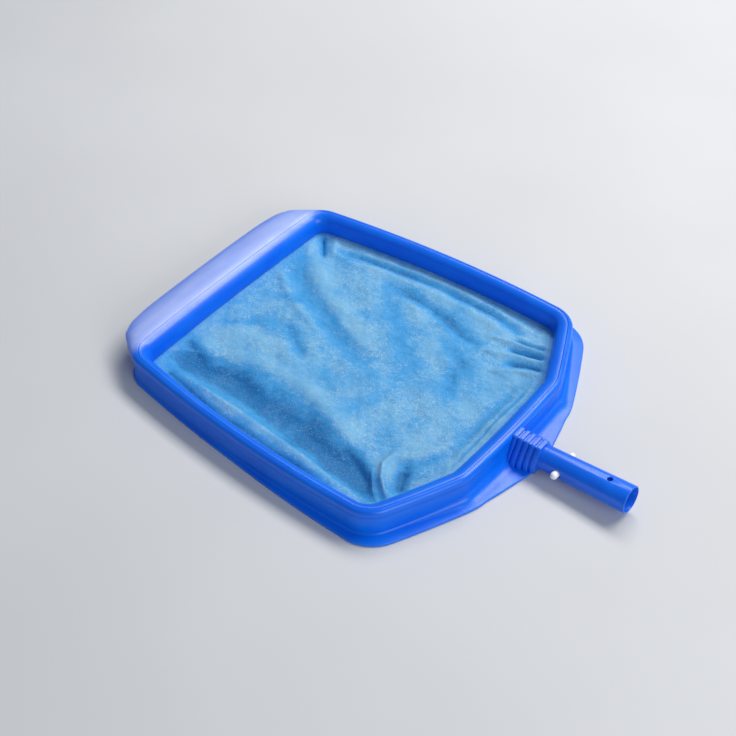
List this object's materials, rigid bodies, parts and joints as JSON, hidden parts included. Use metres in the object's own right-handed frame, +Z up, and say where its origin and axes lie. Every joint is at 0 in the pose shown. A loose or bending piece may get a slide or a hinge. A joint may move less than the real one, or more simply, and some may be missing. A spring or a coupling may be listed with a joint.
{
  "type": "leaf skimmer net",
  "caption": "Flat leaf skimmer head: moulded rim with scoop lip and tail, clamp ring, shallow net bag, ribbed socket tube and spring clip with lock buttons.",
  "frame": {"origin": "on the ground under the middle of the whole length and width", "axes": "+X from the scoop lip to the mouth of the socket tube, +Z up, +Y to the left when looking along +X"},
  "size_m": [0.5434, 0.3806, 0.0343],
  "materials": {
    "blue_plastic": "moulded semi-gloss",
    "ring_plastic": "moulded semi-gloss",
    "handle_plastic": "moulded semi-gloss",
    "net_mesh": "fine knitted mesh",
    "binding_tape": "stitched double edge",
    "spring_steel": "plain rolled strip",
    "button_plastic": "smooth moulded"
  },
  "bodies": {
    "root": {"outer_frame": "blue_plastic", "clamp_ring": "ring_plastic", "net_binding": "binding_tape", "net_bag": "net_mesh", "handle_socket": "handle_plastic", "clip_bow": "spring_steel"},
    "leg_left": {"clip_leg_left": "spring_steel", "lock_button_left": "button_plastic"},
    "leg_right": {"clip_leg_right": "spring_steel", "lock_button_right": "button_plastic"}
  },
  "joints": [
    {"name": "press_left", "type": "hinge", "parent": "root", "child": "leg_left", "pos_m": [0.15488, -0.0025, 0.0201], "axis": [0, 0, 1], "range_deg": [0, 9.8], "stiffness_Nm_per_rad": 1, "springref_deg": -6.88},
    {"name": "press_right", "type": "hinge", "parent": "root", "child": "leg_right", "pos_m": [0.15488, 0.0025, 0.0201], "axis": [0, 0, -1], "range_deg": [0, 9.8], "stiffness_Nm_per_rad": 1, "springref_deg": -6.88}
  ]
}
